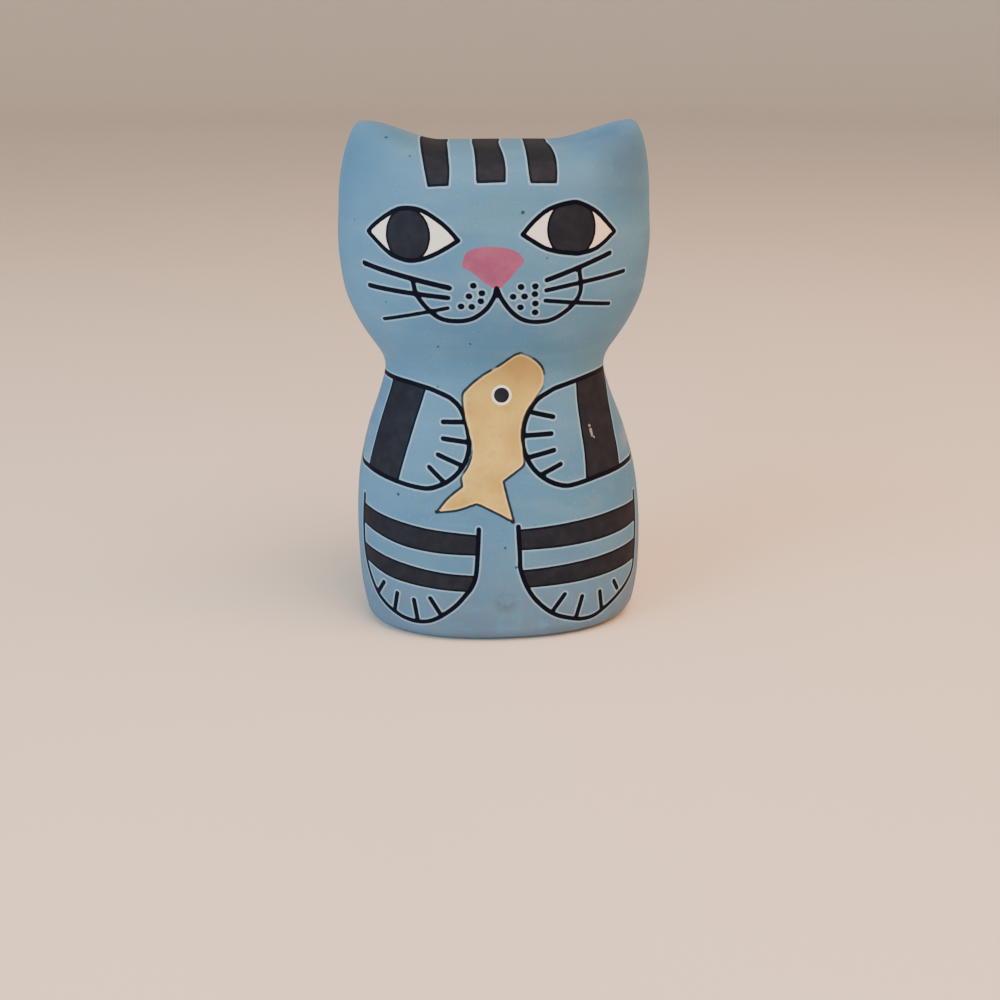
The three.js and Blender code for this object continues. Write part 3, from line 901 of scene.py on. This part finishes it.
# Eyes, charcoal, nose and the fine lines. Along the dark paint the blue is thin and shows a shade paler,
# and the charcoal ends in a thin rim of ink.
HALO, EYE_WHITE, WARM_WHITE = paint(160, 190, 206), paint(224, 220, 216), paint(226, 204, 180)
CHARCOAL, PALE_CHARCOAL, INK = paint(26, 29, 38), paint(35, 38, 47), paint(0, 3, 20)
PINK, PALE_PINK = paint(132, 70, 99), paint(143, 79, 107)
fill_value = stored_value("fill")
line_value = stored_value("line").min(stored_value("tail").abs() - LINE / 2)
dark_value = line_value.min(fill_value)
halo = painted_within((dark_value - 0.28).abs() - 0.2, 0.18)
colour = (halo * 0.5).blend(colour, HALO)
white_mask = painted_within(stored_value("eye_white"))
colour = white_mask.blend(colour, EYE_WHITE)
warm_corner = from_spot(on_front(30, 121.5)).ramp(7, 3.5) * white_mask
colour = (warm_corner * 0.8).blend(colour, WARM_WHITE)
charcoal = mottle.ramp(0.3, 0.8).blend(CHARCOAL, PALE_CHARCOAL)
colour = painted_within(fill_value).blend(colour, charcoal)
rim = painted_within((fill_value + 0.32).abs() - 0.32)
colour = (rim * 0.85).blend(colour, INK)
nose_tone = mottle.ramp(0.3, 0.7).blend(PINK, PALE_PINK)
colour = painted_within(stored_value("nose")).blend(colour, nose_tone)
colour = painted_within(line_value).blend(colour, INK)

# Small damage: dark chips, a pale scratch on the right wrist's band, and pinholes in the paint
CHIP, SCRATCH, PINHOLE = paint(24, 30, 40), paint(180, 184, 190), paint(36, 54, 72)
chips = spots((-30.9, 45.6, 0.5), (-25, 142.3, 0.35), (-33, 146.6, 0.5), (6, 127.7, 0.5), (4.5, 24.9, 0.45),
              (-18, 89.6, 0.35), (-8.6, 90.9, 0.35), (1, 31, 0.35), (-38, 52.5, 0.4))
colour = (painted_within(chips) * 0.8).blend(colour, CHIP)
scratch = spots((27.8, 64.2, 0.38), (28, 63.6, 0.45), (28.2, 62.9, 0.48), (28.5, 62.2, 0.44),
                (28.9, 61.5, 0.36), (29.3, 60.9, 0.28))
colour = (painted_within(scratch) * 0.42).blend(colour, SCRATCH)
pits = shade.node("TexVoronoi", {"feature": "F1"}, {"Vector": place, "Scale": 120.0})
pinholes = pits.ramp(0.045, 0.03) * cloud.ramp(0.5, 0.56)
colour = (pinholes * 0.7).blend(colour, PINHOLE)

# The fish: dull gold paint, browner towards its head with painted shade under the cat's chin, with a thin
# broken dark edge, dark tips to its tail and a white-ringed eye
GOLD, PALE_GOLD, SHADED_GOLD = paint(178, 146, 76), paint(213, 184, 102), paint(132, 110, 74)
DULL_GOLD, RED_GOLD, GOLD_EDGE = paint(166, 138, 86), paint(140, 104, 60), paint(236, 214, 168)
FISH_EDGE, TAIL_TIP, FISH_EYE_RING = paint(14, 13, 16), paint(26, 28, 36), paint(240, 236, 228)
FISH_EYE_HEIGHT = 74.9
fish_value = stored_value("fish")
fish_mask = painted_within(fish_value)
gold = shade.noise(place, 75, 3).ramp(0.3, 0.7).blend(GOLD, PALE_GOLD)
# Painted shade: the gold darkens towards the fish's head, under the cat's chin
gold = (height.ramp(70, 86) * 0.65).blend(gold, SHADED_GOLD)
gold = (mottle.ramp(0.5, 0.72) * 0.4).blend(gold, DULL_GOLD)
gold = (speckle.ramp(0.62, 0.74) * 0.35).blend(gold, RED_GOLD)
gold = (painted_within((fish_value + 0.4).abs() - 0.25, 0.2) * 0.5).blend(gold, GOLD_EDGE)
colour = fish_mask.blend(colour, gold)
edge_break = shade.noise(place, 170, 2).ramp(0.3, 0.5).max(height.ramp(56, 50))
fish_edge = painted_within((fish_value - 0.15).abs() - 0.4) * edge_break
colour = (fish_edge * 0.9).blend(colour, FISH_EDGE)
tail_tips = spots((-18.8, 41.5, 0.6), (3.5, 39, 0.65))
colour = (painted_within(tail_tips) * 0.8).blend(colour, TAIL_TIP)
middle_of_front = form(1.5 * np.pi, FISH_EYE_HEIGHT) + (0.1, 0, 0)
fish_eye = from_spot(tuple(float(c) for c in middle_of_front * MM)) + wobble * 0.5
colour = fish_eye.ramp(2.98, 2.84).blend(colour, FISH_EYE_RING)
eye_dot = fish_eye.ramp(2.3, 2.14)
colour = eye_dot.blend(colour, charcoal)

# Inside and underneath the fired clay is bare. The gold has a little more sheen than the rest.
clay = mottle.ramp(0.3, 0.7).blend(paint(204, 186, 164), paint(216, 200, 180))
bare_mask = (stored_value("bare") + (mottle - 0.5) * 0.5).ramp(0.4, 0.6)
colour = bare_mask.blend(colour, clay)
gold_mask = fish_mask * eye_dot.ramp(0.6, 0.4)
roughness = 0.6 - gold_mask * 0.16 + (mottle - 0.5) * 0.12
relief = mottle * 0.5 + cloud * 3 + painted_within(dark_value, 0.25) * 0.25 + fish_mask * 0.4
bump = shade.node("Bump", {}, {"Strength": 0.3, "Distance": 0.00012, "Height": relief})
dress(shader, shade,
      {"Base Color": colour, "Roughness": roughness, "Metallic": gold_mask * 0.2, "Normal": bump},
      {"IOR": 1.45, "Specular IOR Level": 0.1})
body.data.materials.append(painted_ceramic)
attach(body, "root")
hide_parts("ceramic_body")


# Stopper. A soft black plastic plug, moulded in one piece, that snaps into the outlet from below. It has a
# flange against the base, a neck through the hole and a lip inside, and a shallow dish for the thumb.
STOPPER_FLANGE = OUTLET_RADIUS + 2.6
STOPPER_NECK = OUTLET_RADIUS - 0.3
STOPPER_LIP = OUTLET_RADIUS + 0.9
STOPPER_SEGMENTS = 96
stopper_section = [
    (0, 1.9), (5.5, 1.9), (6.8, 1.85), (7.4, 1.5), (7.8, 1.1), (8.3, 0.93), (9, 0.9), (14.6, 0.9),
    (15.1, 0.95), (15.45, 1.2), (STOPPER_FLANGE, 1.6), (STOPPER_FLANGE, 2.5), (15.5, 2.68), (15.2, 2.7),
    (13, 2.7), (STOPPER_NECK, 2.9), (STOPPER_NECK, 7.3), (12.9, 7.5), (13.6, 7.5), (STOPPER_LIP, 7.7),
    (STOPPER_LIP, 8.1), (13.3, 8.9), (12.8, 9.35), (12.3, 9.5), (10.8, 9.5), (10.2, 9.3), (9.9, 8.9),
    (9.6, 6), (9, 5.6), (0, 5.6),
]
stopper_points, stopper_faces = [], []
for radius, level in stopper_section:
    for step in range(STOPPER_SEGMENTS):
        around = 2 * math.pi * step / STOPPER_SEGMENTS
        stopper_points.append((radius * math.cos(around), radius * math.sin(around), level))
for ring in range(len(stopper_section) - 1):
    for step in range(STOPPER_SEGMENTS):
        here, beyond = ring * STOPPER_SEGMENTS, (ring + 1) * STOPPER_SEGMENTS
        after = (step + 1) % STOPPER_SEGMENTS
        stopper_faces.append((here + step, here + after, beyond + after, beyond + step))
stopper_plastic, shader, shade = new_material("stopper_plastic")
place = shade.node("TexCoord", {}, {}, "Object")
scuff = shade.noise(place, 300, 3)
dress(shader, shade,
      {"Base Color": scuff.ramp(0.4, 0.8).blend(paint(36, 34, 34), paint(52, 49, 48)),
       "Roughness": 0.5 + scuff * 0.2,
       "Normal": shade.node("Bump", {}, {"Strength": 0.2, "Distance": 0.0001, "Height": scuff})},
      {"IOR": 1.5})
stopper = new_object("stopper", stopper_points, stopper_faces, [stopper_plastic])
closed = bmesh.new()
closed.from_mesh(stopper.data)
bmesh.ops.remove_doubles(closed, verts=closed.verts, dist=1e-7)
bmesh.ops.recalc_face_normals(closed, faces=closed.faces)
closed.to_mesh(stopper.data)
closed.free()
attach(stopper, "root")
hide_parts("base_stopper")
